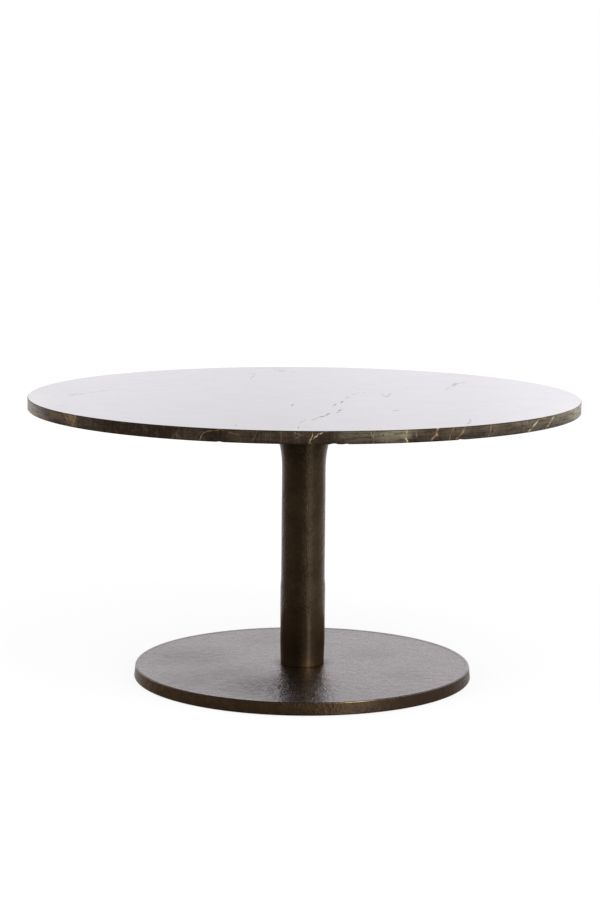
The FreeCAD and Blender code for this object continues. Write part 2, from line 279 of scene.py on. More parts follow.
def base_disc(material):
    low = BASE_LOW.z
    high = low + BASE_THICKNESS
    crown = BASE_HIGH.z
    relief = low + UNDERSIDE_RELIEF
    ceiling = low + NUT_RECESS_DEPTH
    rim_top = BASE_RADIUS - BASE_DRAFT
    profile = line((ROD_HOLE_RADIUS, ceiling), (NUT_RECESS_RADIUS, ceiling), steps=2)
    profile += line((NUT_RECESS_RADIUS, ceiling), (NUT_RECESS_RADIUS, low), steps=4)
    profile += line((NUT_RECESS_RADIUS, low), (CENTRE_LAND_RADIUS, low), steps=6)
    profile += line((CENTRE_LAND_RADIUS, low), (CENTRE_LAND_RADIUS, relief), steps=1)
    profile += line((CENTRE_LAND_RADIUS, relief), (RIM_LAND_RADIUS, relief), steps=20)
    profile += line((RIM_LAND_RADIUS, relief), (RIM_LAND_RADIUS, low), steps=1)
    profile += line((RIM_LAND_RADIUS, low), (BASE_RADIUS - BASE_TOE, low), steps=12)
    profile += arc((BASE_RADIUS - BASE_TOE, low + BASE_TOE), BASE_TOE, -90, -4, steps=8)
    profile += arc((rim_top - BASE_ARRIS, high - BASE_ARRIS), BASE_ARRIS, 5, 84, steps=8)
    profile += line((rim_top - BASE_ARRIS, high), (rim_top - 2 * LIP_START, high), steps=24)
    profile += line((rim_top - 2 * LIP_START, high), (FOOT_RADIUS, high), steps=66)
    profile += line((FOOT_RADIUS, high), (SPIGOT_RADIUS, high), steps=2)
    profile += line((SPIGOT_RADIUS, high), (SPIGOT_RADIUS, crown), steps=3)
    profile += line((SPIGOT_RADIUS, crown), (ROD_HOLE_RADIUS, crown), steps=3)
    profile += line((ROD_HOLE_RADIUS, crown), (ROD_HOLE_RADIUS, ceiling), steps=4)

    def cast(point):
        """A gently uneven top with a faint lip round the rim."""
        away = point.xy.length
        if abs(point.z - high) > LEVEL_TOLERANCE or away < FOOT_RADIUS:
            return point
        hold = min(1.0, (away - FOOT_RADIUS) / BASE_ONSET)
        rise = min(1.0, max(0.0, (away - (rim_top - LIP_START)) / LIP_WIDTH))
        return point + Vector((0, 0, hold * uneven(point, BASE_WAVES) + LIP_HEIGHT * ease(rise)))

    item = lathe("cast_foot_disc", profile, BASE_SEGMENTS, closed=True, shape=cast)
    carve_round(item, POCKET_RADIUS, low - POCKET_DEPTH, low + POCKET_DEPTH, GLIDE_CIRCLE, GLIDE_COUNT)
    finish_piece(item, "base_disc", material)


class Nodes:
    """Short ways to put nodes into a tree and link them."""

    def __init__(self, tree):
        self.tree = tree

    def feed(self, socket, given):
        if isinstance(given, bpy.types.NodeSocket):
            self.tree.links.new(given, socket)
        else:
            socket.default_value = given

    def node(self, kind, inputs=None, **settings):
        item = self.tree.nodes.new(kind)
        for key, setting in settings.items():
            setattr(item, key, setting)
        for key, given in (inputs or {}).items():
            self.feed(item.inputs[key], given)
        return item

    def calc(self, operation, *given):
        return self.node("ShaderNodeMath", dict(enumerate(given)), operation=operation).outputs[0]

    def vector(self, operation, *given, scale=None):
        inputs = dict(enumerate(given))
        if scale is not None:
            inputs["Scale"] = scale
        item = self.node("ShaderNodeVectorMath", inputs, operation=operation)
        single = operation in ("LENGTH", "DISTANCE", "DOT_PRODUCT")
        return item.outputs["Value" if single else "Vector"]

    def part(self, vector, axis):
        return self.node("ShaderNodeSeparateXYZ", {"Vector": vector}).outputs[axis]

    def span(self, given, low, high, to_low=0.0, to_high=1.0, smooth=True):
        """Map a value from one range to another, held at both ends."""
        inputs = {"Value": given, "From Min": low, "From Max": high, "To Min": to_low, "To Max": to_high}
        kind = "SMOOTHSTEP" if smooth else "LINEAR"
        return self.node("ShaderNodeMapRange", inputs, interpolation_type=kind).outputs["Result"]

    def between(self, factor, first, second):
        """Mix two numbers."""
        return self.node("ShaderNodeMix", {0: factor, 2: first, 3: second}).outputs[0]

    def blend(self, factor, first, second):
        """Mix two colours."""
        item = self.node("ShaderNodeMix", data_type="RGBA")
        for index, given in ((0, factor), (6, first), (7, second)):
            if isinstance(given, tuple):
                given = (*given, 1.0)
            self.feed(item.inputs[index], given)
        return item.outputs[2]

    def ramp(self, given, limit, levels):
        """Colours or greys along a value that runs from minus the limit to the limit."""
        item = self.node("ShaderNodeValToRGB", {"Fac": self.span(given, -limit, limit, smooth=False)})
        stops = item.color_ramp.elements
        for index, (place, level) in enumerate(levels):
            share = (place + limit) / (2 * limit)
            stop = stops[index] if index < len(stops) else stops.new(share)
            stop.position = share
            stop.color = (*level, 1.0) if isinstance(level, tuple) else (level, level, level, 1.0)
        item.color_ramp.interpolation = "EASE"
        return item.outputs["Color"]


# The range that most of a noise pattern lies in
NOISE_LOW, NOISE_HIGH = 0.3, 0.7
NOISE_MIDDLE = (0.5, 0.5, 0.5)


class Surface(Nodes):
    """A material made of patterns in the object's own coordinates."""

    def __init__(self, name):
        self.material = bpy.data.materials.new(name)
        self.material.use_nodes = True
        super().__init__(self.material.node_tree)
        self.shader = self.tree.nodes["Principled BSDF"]
        self.place = self.node("ShaderNodeTexCoord").outputs["Object"]

    def set(self, **inputs):
        for key, given in inputs.items():
            self.feed(self.shader.inputs[key.replace("_", " ")], given)

    def noise(self, scale, detail=3.0, vector=None, rough=0.5, output="Fac"):
        inputs = {"Vector": vector or self.place, "Scale": scale, "Detail": detail, "Roughness": rough}
        return self.node("ShaderNodeTexNoise", inputs).outputs[output]

    def shift(self, scale):
        """A noise that moves places to either side alike."""
        return self.vector("SUBTRACT", self.noise(scale, detail=2.0, output="Color"), NOISE_MIDDLE)

    def moved(self, place, shift, amount):
        return self.vector("ADD", place, self.vector("SCALE", shift, scale=amount))

    def cracks(self, scale, vector):
        inputs = {"Vector": vector, "Scale": scale}
        return self.node("ShaderNodeTexVoronoi", inputs, feature="DISTANCE_TO_EDGE").outputs["Distance"]

    def vary(self, pattern, low, high):
        """Spread a noise pattern over a range."""
        return self.span(pattern, NOISE_LOW, NOISE_HIGH, low, high, smooth=False)

    def tones(self, pattern, first, second):
        """Spread a noise pattern over two colours."""
        return self.blend(self.span(pattern, NOISE_LOW, NOISE_HIGH), first, second)

    def level(self):
        """The place seen from above."""
        return self.vector("MULTIPLY", self.place, (1.0, 1.0, 0.0))

    def around(self):
        """The direction round the upright axis."""
        return self.node("ShaderNodeTangent", direction_type="RADIAL", axis="Z").outputs["Tangent"]

    def facing(self):
        """The upward part of the surface's direction."""
        return self.part(self.node("ShaderNodeNewGeometry").outputs["Normal"], "Z")

    def stretched(self, scale):
        return self.node("ShaderNodeMapping", {"Vector": self.place, "Scale": scale}).outputs["Vector"]

    def bump(self, height, depth, strength=1.0, under=None):
        inputs = {"Height": height, "Distance": depth, "Strength": strength}
        if under:
            inputs["Normal"] = under
        return self.node("ShaderNodeBump", inputs).outputs["Normal"]


# Veins that come out at the rim of the stone: points as a bearing in degrees from the front and a share
# of the rim's height, half width and strength
CREAM_VEINS = [
    ([(-1.6, 0.84), (-0.7, 0.70), (-1.5, 0.42)], 0.0008, 0.28),
    ([(1.6, 1.0), (1.6, 0.65), (1.2, 0.38)], 0.0009, 0.50),
    ([(4.0, 0.97), (2.7, 0.77), (1.9, 0.43)], 0.0013, 0.56),
    ([(12.4, 0.92), (12.9, 0.45), (13.2, 1.0)], 0.0008, 0.30),
    ([(19.5, 0.90), (19.2, 0.35), (19.5, 0.05)], 0.0016, 0.70),
    ([(21.2, 1.0), (21.6, 0.20)], 0.0008, 0.22),
    ([(25.8, 1.0), (25.6, 0.62)], 0.0017, 0.45),
    ([(38.3, 1.0), (37.7, 0.05)], 0.0009, 0.36),
    ([(48.4, 1.0), (48.2, 0.60)], 0.0008, 0.25),
    ([(48.9, 0.12), (52.0, 0.76)], 0.0017, 0.85),
    ([(55.3, 0.12), (57.0, 0.48)], 0.0016, 1.0),
    ([(57.0, 0.48), (58.6, 0.98)], 0.0012, 0.95),
]
TAN_VEINS = [
    ([(-54.6, 0.90), (-53.2, 0.35)], 0.0022, 0.36),
    ([(-50.5, 0.90), (-51.2, 0.30)], 0.0032, 0.32),
    ([(-20.6, 0.25), (-20.0, 0.62), (-19.2, 0.70)], 0.0010, 0.18),
    ([(-19.9, 0.05), (-19.2, 0.55), (-18.2, 0.80), (-15.7, 0.96)], 0.0010, 0.38),
    ([(-15.7, 0.96), (-13.8, 0.78), (-11.7, 0.60)], 0.0010, 0.16),
    ([(-9.5, 0.20), (-9.0, 0.45), (-8.7, 0.90)], 0.0010, 0.20),
    ([(1.2, 0.38), (1.0, 0.15), (1.5, 0.03)], 0.0011, 0.42),
    ([(25.8, 1.0), (25.6, 0.62)], 0.0030, 0.75),
    ([(25.6, 0.62), (24.6, 0.14)], 0.0014, 0.70),
    ([(29.3, 1.0), (28.3, 0.10)], 0.0017, 0.40),
    ([(31.9, 1.0), (31.4, 0.64)], 0.0022, 0.66),
    ([(31.4, 0.64), (30.0, 0.10)], 0.0015, 0.55),
    ([(52.0, 0.76), (53.2, 0.87), (55.5, 0.93)], 0.0011, 0.60),
]

# Open pits along fine cracks in the polished top: points, half width and strength
PITS = [
    ([(0.0225, -0.252), (0.029, -0.239), (0.033, -0.216)], 0.0038, 0.78),
    ([(0.009, -0.292), (0.019, -0.260)], 0.0022, 0.5),
    ([(-0.007, -0.319), (0.002, -0.283)], 0.0018, 0.5),
    ([(-0.008, -0.376), (-0.007, -0.359)], 0.0022, 0.5),
    ([(0.046, -0.205), (0.051, -0.165)], 0.0036, 0.80),
    ([(0.041, -0.128), (0.045, -0.104)], 0.0030, 0.6),
    ([(0.051, -0.100), (0.056, -0.058)], 0.0028, 0.65),
    ([(0.060, -0.034), (0.064, -0.013)], 0.0030, 0.55),
    ([(0.068, 0.008), (0.079, 0.036), (0.087, 0.042)], 0.0026, 0.45),
    ([(0.071, 0.125), (0.082, 0.076)], 0.0014, 0.25),
    ([(-0.018, -0.131), (-0.016, -0.113)], 0.0030, 0.55),
    ([(0.112, 0.022), (0.119, -0.013), (0.126, 0.028)], 0.0036, 0.38),
    ([(0.124, -0.178), (0.129, -0.171)], 0.0034, 0.42),
    ([(0.210, 0.090), (0.221, 0.135)], 0.0030, 0.34),
    ([(0.223, 0.135), (0.230, 0.172)], 0.0060, 0.48),
    ([(0.232, 0.165), (0.247, 0.200)], 0.0040, 0.38),
    ([(0.220, -0.262), (0.222, -0.288), (0.214, -0.321)], 0.0024, 0.5),
    ([(-0.091, -0.357), (-0.089, -0.347)], 0.0020, 0.5),
]
# Tan stains in the polished top, in the same form
STAINS = [
    ([(0.085, -0.186), (0.099, -0.185)], 0.0030, 0.5),
    ([(-0.046, 0.372), (-0.035, 0.335), (-0.025, 0.328)], 0.0130, 0.9),
    ([(-0.090, 0.320), (-0.077, 0.275), (-0.084, 0.220), (-0.076, 0.170)], 0.0030, 0.7),
    ([(-0.335, -0.018), (-0.319, 0.006), (-0.302, 0.030)], 0.0120, 0.85),
    ([(-0.365, 0.033), (-0.343, 0.033)], 0.0040, 0.6),
    ([(-0.300, 0.043), (-0.262, 0.059)], 0.0040, 0.55),
    ([(-0.336, -0.154), (-0.323, -0.136)], 0.0060, 0.5),
    ([(-0.247, -0.232), (-0.241, -0.222)], 0.0030, 0.6),
    ([(-0.201, 0.087), (-0.195, 0.133)], 0.0020, 0.4),
    ([(-0.103, -0.300), (-0.096, -0.327)], 0.0020, 0.5),
    ([(0.004, 0.207), (0.009, 0.225)], 0.0030, 0.4),
]

# Clouds of the stone at the rim: bearing, height, inner and outer reach, strength and colour
CLOUDS = [
    (52.0, 0.407, 0.030, 0.150, 0.72, (0.125, 0.104, 0.076)),
    (34.0, 0.410, 0.020, 0.085, 0.70, (0.092, 0.073, 0.052)),
    (76.0, 0.407, 0.030, 0.140, 0.90, (0.265, 0.226, 0.158)),
    (-78.0, 0.407, 0.030, 0.140, 0.90, (0.240, 0.205, 0.165)),
    (-57.5, 0.416, 0.004, 0.034, 0.62, (0.160, 0.104, 0.058)),
    (-50.0, 0.405, 0.020, 0.060, 0.55, (0.060, 0.049, 0.036)),
    (-53.0, 0.414, 0.004, 0.036, 0.78, (0.175, 0.119, 0.072)),
    (-33.0, 0.408, 0.012, 0.070, 0.70, (0.0205, 0.0135, 0.0088)),
    (-6.0, 0.409, 0.020, 0.070, 0.40, (0.050, 0.036, 0.023)),
    (-20.6, 0.408, 0.008, 0.030, 0.40, (0.056, 0.044, 0.031)),
    (-15.6, 0.407, 0.006, 0.026, 0.80, (0.013, 0.0095, 0.0068)),
    (10.5, 0.412, 0.010, 0.042, 0.75, (0.088, 0.077, 0.053)),
    (17.0, 0.414, 0.010, 0.034, 0.85, (0.160, 0.140, 0.093)),
    (19.4, 0.403, 0.002, 0.010, 0.50, (0.240, 0.200, 0.130)),
    (23.5, 0.408, 0.006, 0.030, 0.45, (0.078, 0.064, 0.047)),
    (41.4, 0.406, 0.006, 0.024, 0.60, (0.066, 0.042, 0.028)),
]

# How far the veins and the clouds of the rim go into the stone
VEIN_DEPTH = 0.022
CLOUD_DEPTH = 0.055
# How far the veins and the crazing wander from their lines
VEIN_WANDER = 0.004
CRAZE_WANDER = 0.05
# Where a surface counts as facing up or down, and where it no longer does
FACING_FULL, FACING_NONE = 0.95, 0.80
# Upright saw marks left at the front of the rim: bearing, inner and outer reach
SAW_MARKS = (-5.2, 0.018, 0.038)
# Painted light on the right of the rim, paler towards the top and darker below: where that sets in and is
# whole, by how much the rim is darker below and paler above, and how far from its lower and its upper edge
PAINTED_LIGHT_RIGHT = (-0.16, 0.03)
PAINTED_LIGHT_LEVELS = (-0.20, 0.45)
PAINTED_LIGHT_INSETS = (0.002, 0.003)
# Painted shade along the arrises of the rim: its reach and strength, and from where to where on the right it
# fades, to which share
ARRIS_SHADE_REACH = 2.5 * TOP_ARRIS
ARRIS_SHADE_STRENGTH = 0.65
ARRIS_SHADE_FADE = (0.25, 0.35, 0.3)

# Colours of the stone
STONE_DARKEST = (0.015, 0.0095, 0.0060)
STONE_DARK = (0.030, 0.0205, 0.0130)
STONE_PALE = (0.066, 0.050, 0.034)
STONE_BAND = (0.017, 0.012, 0.008)
FLECK_PALE = (0.115, 0.080, 0.048)
FLECK_DARK = (0.014, 0.010, 0.007)
SAW_PALE = (0.13, 0.095, 0.06)
SAW_DARK = (0.010, 0.007, 0.0045)
# The painted shade along the rim's arrises
ARRIS_SHADE_COLOUR = (0.018, 0.013, 0.009)
CRACK_TAN = (0.20, 0.135, 0.075)
VEIN_TAN = (0.36, 0.22, 0.11)
VEIN_CREAM = (0.56, 0.46, 0.30)
STAIN_TAN = (0.32, 0.21, 0.11)
PIT_BROWN = (0.150, 0.086, 0.045)
SAWN_GREY = (0.13, 0.11, 0.09)
# Shares of a stroke that are whole before it fades: of its half width and of its half length
STROKE_CORE, STROKE_BODY = 0.25, 0.6


def at_rim(bearing, height):
    turn = math.radians(bearing)
    return Vector((TOP_RADIUS * math.sin(turn), -TOP_RADIUS * math.cos(turn), height))


def on_rim(bearing, share):
    return at_rim(bearing, TOP_LOW.z + share * (TOP_HIGH.z - TOP_LOW.z))


def on_top(x, y):
    return Vector((x, y, TOP_HIGH.z))


def strokes(stone, place, rows, spot, outward):
    """Veins along runs of points, put on the stone by spot, where outward is the surface's direction."""
    total = 0.0
    for points, width, strength in rows:
        spots = [spot(*point) for point in points]
        for start, finish in zip(spots, spots[1:]):
            middle = (start + finish) / 2
            along = (finish - start).normalized()
            across = outward(middle).cross(along)
            length = (finish - start).length / 2 + 2 * width
            offset = stone.vector("SUBTRACT", place, middle)
            aside = stone.calc("ABSOLUTE", stone.vector("DOT_PRODUCT", offset, across))
            ahead = stone.calc("ABSOLUTE", stone.vector("DOT_PRODUCT", offset, along))
            sheet = stone.span(aside, STROKE_CORE * width, width, strength, 0.0)
            ends = stone.span(ahead, STROKE_BODY * length, length, 1.0, 0.0)
            total = stone.calc("MAXIMUM", total, stone.calc("MULTIPLY", sheet, ends))
    return total


def stone_body(stone, crazed, away, rim):
    """The brown of the stone with its clouds, flecks and saw marks, and painted light and shade on its rim,
    but without its veins.
    """
    clouds = stone.noise(13.0, detail=6.0, vector=crazed, rough=0.62)
    flecks = stone.noise(210.0, rough=0.6)
    upright = stone.noise(340.0, detail=2.0, vector=stone.stretched((1.0, 1.0, 0.04)))
    body = stone.blend(stone.span(clouds, 0.30, 0.55), STONE_DARKEST, STONE_DARK)
    body = stone.blend(stone.span(clouds, 0.54, 0.74), body, STONE_PALE)
    clouded = body
    for bearing, height, inner, outer, strength, colour in CLOUDS:
        near = stone.vector("DISTANCE", crazed, at_rim(bearing, height))
        clouded = stone.blend(stone.span(near, inner, outer, strength, 0.0), clouded, colour)
    body = stone.blend(stone.span(away, TOP_RADIUS - CLOUD_DEPTH, TOP_RADIUS, 0.25, 1.0), body, clouded)
    bands = stone.noise(26.0, detail=5.0, vector=stone.stretched((1.0, 1.0, 13.0)), rough=0.62)
    body = stone.blend(stone.span(bands, 0.38, 0.54, 0.60, 0.0), body, STONE_BAND)
    body = stone.blend(stone.span(flecks, 0.52, 0.74, 0.0, 0.25), body, FLECK_PALE)
    body = stone.blend(stone.span(flecks, 0.30, 0.46, 0.55, 0.0), body, FLECK_DARK)
    bearing, inner, outer = SAW_MARKS
    sawn = stone.vector("DISTANCE", stone.place, at_rim(bearing, TOP_HIGH.z))
    sawn = stone.span(sawn, inner, outer, 1.0, 0.30)
    pale_marks = stone.calc("MULTIPLY", stone.span(upright, 0.50, 0.70, 0.0, 0.28), sawn)
    dark_marks = stone.calc("MULTIPLY", stone.span(upright, 0.30, 0.50, 0.45, 0.0), sawn)
    body = stone.blend(pale_marks, body, SAW_PALE)
    body = stone.blend(dark_marks, body, SAW_DARK)
    # Painted light on the right of the rim, paler towards the top and darker below, and painted shade along
    # both of its arrises
    height = stone.part(stone.place, "Z")
    sideways = stone.part(stone.place, "X")
    under, over = PAINTED_LIGHT_INSETS
    painted_light = stone.span(height, TOP_LOW.z + under, TOP_HIGH.z - over, *PAINTED_LIGHT_LEVELS, smooth=False)
    right = stone.calc("MULTIPLY", stone.span(sideways, *PAINTED_LIGHT_RIGHT), rim)
    body = stone.vector("SCALE", body, scale=stone.calc("MULTIPLY_ADD", painted_light, right, 1.0))
    # Painted shade along both arrises of the rim, fading on the right
    inset = stone.calc("MINIMUM", stone.calc("SUBTRACT", height, TOP_LOW.z),
                       stone.calc("SUBTRACT", TOP_HIGH.z, height))
    arris_shade = stone.span(inset, TOP_ARRIS, ARRIS_SHADE_REACH, ARRIS_SHADE_STRENGTH, 0.0)
    arris_shade = stone.calc("MULTIPLY", arris_shade, rim)
    start, finish, left_over = ARRIS_SHADE_FADE
    arris_shade = stone.calc("MULTIPLY", arris_shade, stone.span(sideways, start, finish, 1.0, left_over))
    return stone.blend(arris_shade, body, ARRIS_SHADE_COLOUR)


def marble():
    """Dark brown marble: the top is polished, the rim only honed, and the underside is sawn."""
    stone = Surface("polished_marble")
    drift = stone.shift(16.0)
    bent = stone.moved(stone.place, drift, VEIN_WANDER)
    bent = stone.moved(bent, stone.shift(130.0), VEIN_WANDER)
    crazed = stone.moved(stone.place, drift, CRAZE_WANDER)

    def rim_strokes(rows):
        def outward(place):
            return Vector((place.x, place.y, 0.0)).normalized()

        return strokes(stone, bent, rows, on_rim, outward)

    def top_strokes(rows):
        return strokes(stone, bent, rows, on_top, lambda place: Vector((0.0, 0.0, 1.0)))

    facing = stone.facing()
    above = stone.span(facing, FACING_NONE, FACING_FULL)
    below = stone.span(facing, -FACING_FULL, -FACING_NONE, 1.0, 0.0)
    rim = stone.span(stone.calc("ABSOLUTE", facing), FACING_NONE, FACING_FULL, 1.0, 0.0)
    away = stone.vector("LENGTH", stone.level())
    shallow = stone.span(away, TOP_RADIUS - VEIN_DEPTH, TOP_RADIUS - VEIN_DEPTH / 4)
    broken = stone.calc("MULTIPLY", stone.span(stone.noise(170.0), 0.40, 0.56, 0.15, 1.0), shallow)
    cream = stone.calc("MULTIPLY", rim_strokes(CREAM_VEINS), broken)
    tan = stone.calc("MULTIPLY", rim_strokes(TAN_VEINS), broken)
    specks = stone.span(stone.noise(110.0, detail=2.0), 0.42, 0.54)
    pits = stone.calc("MULTIPLY", top_strokes(PITS), specks)
    wisps = stone.span(stone.noise(60.0, detail=5.0, rough=0.65), 0.44, 0.62)
    stains = stone.calc("MULTIPLY", top_strokes(STAINS), wisps)
    # Fine crazing between the clouds of the stone
    cracks = stone.span(stone.cracks(24.0, crazed), 0.0, 0.035, 1.0, 0.0)
    cracks = stone.calc("MULTIPLY", cracks, stone.span(stone.noise(11.0), 0.46, 0.66))
    body = stone_body(stone, crazed, away, rim)
    for strength, colour in (
        (stone.calc("MULTIPLY", cracks, 0.30), CRACK_TAN),
        (tan, VEIN_TAN),
        (cream, VEIN_CREAM),
        (stains, STAIN_TAN),
        (pits, PIT_BROWN),
        (stone.calc("MULTIPLY", below, 0.5), SAWN_GREY),
    ):
        body = stone.blend(strength, body, colour)
    # Pits, stains, veins and cracks take less polish
    dull = pits
    for marks, share in ((stains, 0.6), (cream, 0.3), (cracks, 0.10)):
        dull = stone.calc("MAXIMUM", dull, stone.calc("MULTIPLY", marks, share))
    sheen = stone.span(dull, 0.0, 0.9, 1.0, 0.0, smooth=False)
    haze = stone.noise(19.0, detail=5.0, vector=crazed, rough=0.6)
    haze = stone.span(haze, 0.36, 0.70, 1.0, 0.93)
    polish = stone.calc("MULTIPLY", stone.span(above, 0.0, 1.0, 0.02, 1.0, smooth=False), haze)
    gloss = stone.span(above, 0.0, 1.0, 0.02, 0.5, smooth=False)
    rough = stone.calc("ADD", stone.span(dull, 0.0, 1.0, 0.045, 0.50, smooth=False),
                       stone.span(above, 0.0, 1.0, 0.22, 0.0, smooth=False))
    saw_lines = stone.noise(60.0, detail=2.0, vector=stone.stretched((1.0, 14.0, 14.0)))
    relief = stone.bump(cracks, depth=-0.0002, strength=0.3)
    saw_lines = stone.calc("MULTIPLY", saw_lines, below)
    relief = stone.bump(saw_lines, depth=0.0004, strength=0.6, under=relief)
    stone.set(
        Base_Color=body,
        Roughness=stone.calc("ADD", rough, stone.calc("MULTIPLY", below, 0.3)),
        Specular_IOR_Level=stone.calc("MULTIPLY", gloss, sheen),
        Coat_Weight=stone.calc("MULTIPLY", polish, sheen),
        Coat_Roughness=0.03,
        Normal=relief,
    )
    return stone.material


# Heights where the column turns from rubbed smooth to grainy, and the share of the grain left below
GRAINY_HEIGHTS = (0.081, 0.115)
SAND_LEFT = 0.12
# Heights where the painted warm reflection at the foot turns from gold to bronze, and where the foot's band
# ends
PAINTED_GLOW_HEIGHTS = (0.022, 0.034)
FOOT_BAND_HEIGHTS = (0.030, 0.068)
# The upright line down the front right of the column along which a highlight is painted on its smooth lower
# part, inner and outer reach
PAINTED_HIGHLIGHT_LINE = (0.0080, -0.0317, 0.0)
PAINTED_HIGHLIGHT_REACH = (0.004, 0.016)
# Colours of the column: its patina, its smooth lower shaft and foot, and the painted highlight and painted
# warm reflection down the front right
COLUMN_DARK = (0.044, 0.028, 0.0140)
COLUMN_BROWN = (0.066, 0.043, 0.0235)
COLUMN_PALE = (0.092, 0.064, 0.038)
PAINTED_GLOW_GOLD = (0.240, 0.130, 0.060)
PAINTED_GLOW_BRONZE = (0.165, 0.108, 0.060)
FOOT_BROWN = (0.080, 0.052, 0.028)
SMOOTH_SHAFT_COLOUR = (0.052, 0.033, 0.0165)
PAINTED_HIGHLIGHT_SHAFT = (0.068, 0.044, 0.023)
GRAIN_TINT = (0.55, 0.52, 0.50)
WHITE = (1.0, 1.0, 1.0)


def column_bronze():
    """Dark patinated bronze with the grain of the sand mould, rubbed smooth near the foot, with a painted
    highlight and a painted warm reflection down the front right of its lower part.
    """
    metal = Surface("cast_bronze_column")
    height = metal.part(metal.place, "Z")
    sand = metal.span(height, *GRAINY_HEIGHTS, SAND_LEFT, 1.0)

    def by_skin(foot, shaft):
        """A number for the smooth foot that turns into another for the grainy shaft."""
        return metal.span(sand, SAND_LEFT, 1.0, foot, shaft, smooth=False)

    patina = metal.noise(26.0, detail=5.0, rough=0.6)
    mottle = metal.noise(150.0, detail=4.0, rough=0.6)
    colour = metal.blend(metal.span(patina, 0.32, 0.68), COLUMN_DARK, COLUMN_BROWN)
    colour = metal.blend(metal.span(mottle, 0.52, 0.74, 0.0, 0.5), colour, COLUMN_PALE)
    # A highlight is painted down the front right of the smooth lower shaft, turning to a painted warm
    # reflection in gold and bronze at the foot
    painted_highlight = metal.span(metal.vector("DISTANCE", metal.level(), PAINTED_HIGHLIGHT_LINE), *PAINTED_HIGHLIGHT_REACH, 1.0, 0.0)
    painted_glow = metal.blend(metal.span(height, *PAINTED_GLOW_HEIGHTS), PAINTED_GLOW_GOLD, PAINTED_GLOW_BRONZE)
    painted_warm_band = metal.blend(painted_highlight, FOOT_BROWN, painted_glow)
    shaft_and_highlight = metal.blend(painted_highlight, SMOOTH_SHAFT_COLOUR, PAINTED_HIGHLIGHT_SHAFT)
    shaft_and_highlight = metal.blend(metal.span(height, *FOOT_BAND_HEIGHTS), painted_warm_band, shaft_and_highlight)
    colour = metal.blend(by_skin(0.8, 0.0), colour, shaft_and_highlight)
    lumps = metal.noise(120.0)
    grain = metal.noise(380.0, detail=2.0, vector=metal.stretched((1.0, 1.0, 0.55)), rough=0.55)
    skin = metal.bump(metal.calc("MULTIPLY", lumps, sand), depth=0.0008, strength=0.9)
    skin = metal.bump(metal.calc("MULTIPLY", grain, sand), depth=0.00050, under=skin)
    metal.set(
        Base_Color=colour,
        Metallic=1.0,
        Roughness=metal.calc("ADD", metal.vary(mottle, 0.17, 0.24), by_skin(0.0, 0.08)),
        Anisotropic=by_skin(0.85, 0.0),
        Anisotropic_Rotation=0.25,
        Tangent=metal.around(),
        Specular_Tint=metal.blend(by_skin(1.0, 0.0), WHITE, GRAIN_TINT),
        Normal=skin,
    )
    return metal.material


# Duller places on the foot disc: x, y, inner and outer reach, strength
DULL_PLACES = [
    (-0.042, -0.142, 0.010, 0.120, 0.40),
    (-0.100, -0.080, 0.010, 0.090, 0.19),
    (-0.165, 0.030, 0.010, 0.100, 0.19),
    (-0.150, -0.110, 0.010, 0.080, 0.15),
    (0.105, 0.060, 0.008, 0.055, 0.08),
    (0.150, -0.070, 0.008, 0.050, 0.08),
    (-0.050, 0.150, 0.010, 0.070, 0.08),
]
# The duller ring round the column, with painted contact shade: from inside its foot to outside it, and its
# strength
DULL_SHADED_RING = (-0.002, 0.018, 0.26)
# The painted highlight on a length of the foot's upper edge: its middle, inner and outer reach, strength
PAINTED_EDGE_HIGHLIGHT = ((0.0765, -0.2354, 0.0190), 0.008, 0.034, 0.9)
# Painted shade on the right of the rim: where it sets in and is whole, and its strength
RIGHT_RIM_SHADE = (0.06, 0.17, 0.75)
# Strength of the rim's brown
SIDE_BROWNING = 0.75
# Wax on the foot's top: how much, and how matt
WAX_WEIGHT = 0.75
WAX_ROUGHNESS = 0.30
# Colours of the foot disc
DISC_DARK = (0.074, 0.047, 0.036)
DISC_BROWN = (0.096, 0.064, 0.053)
DISC_PALE = (0.115, 0.085, 0.058)
SIDE_DARK = (0.066, 0.038, 0.016)
SIDE_BROWN = (0.102, 0.059, 0.026)
# The painted shade on the right of the rim
RIM_SHADE_DARK = (0.040, 0.027, 0.0170)
# The painted highlight on the upper edge
EDGE_HIGHLIGHT_GOLD = (0.50, 0.37, 0.21)
DULL_TINT = (0.23, 0.205, 0.19)


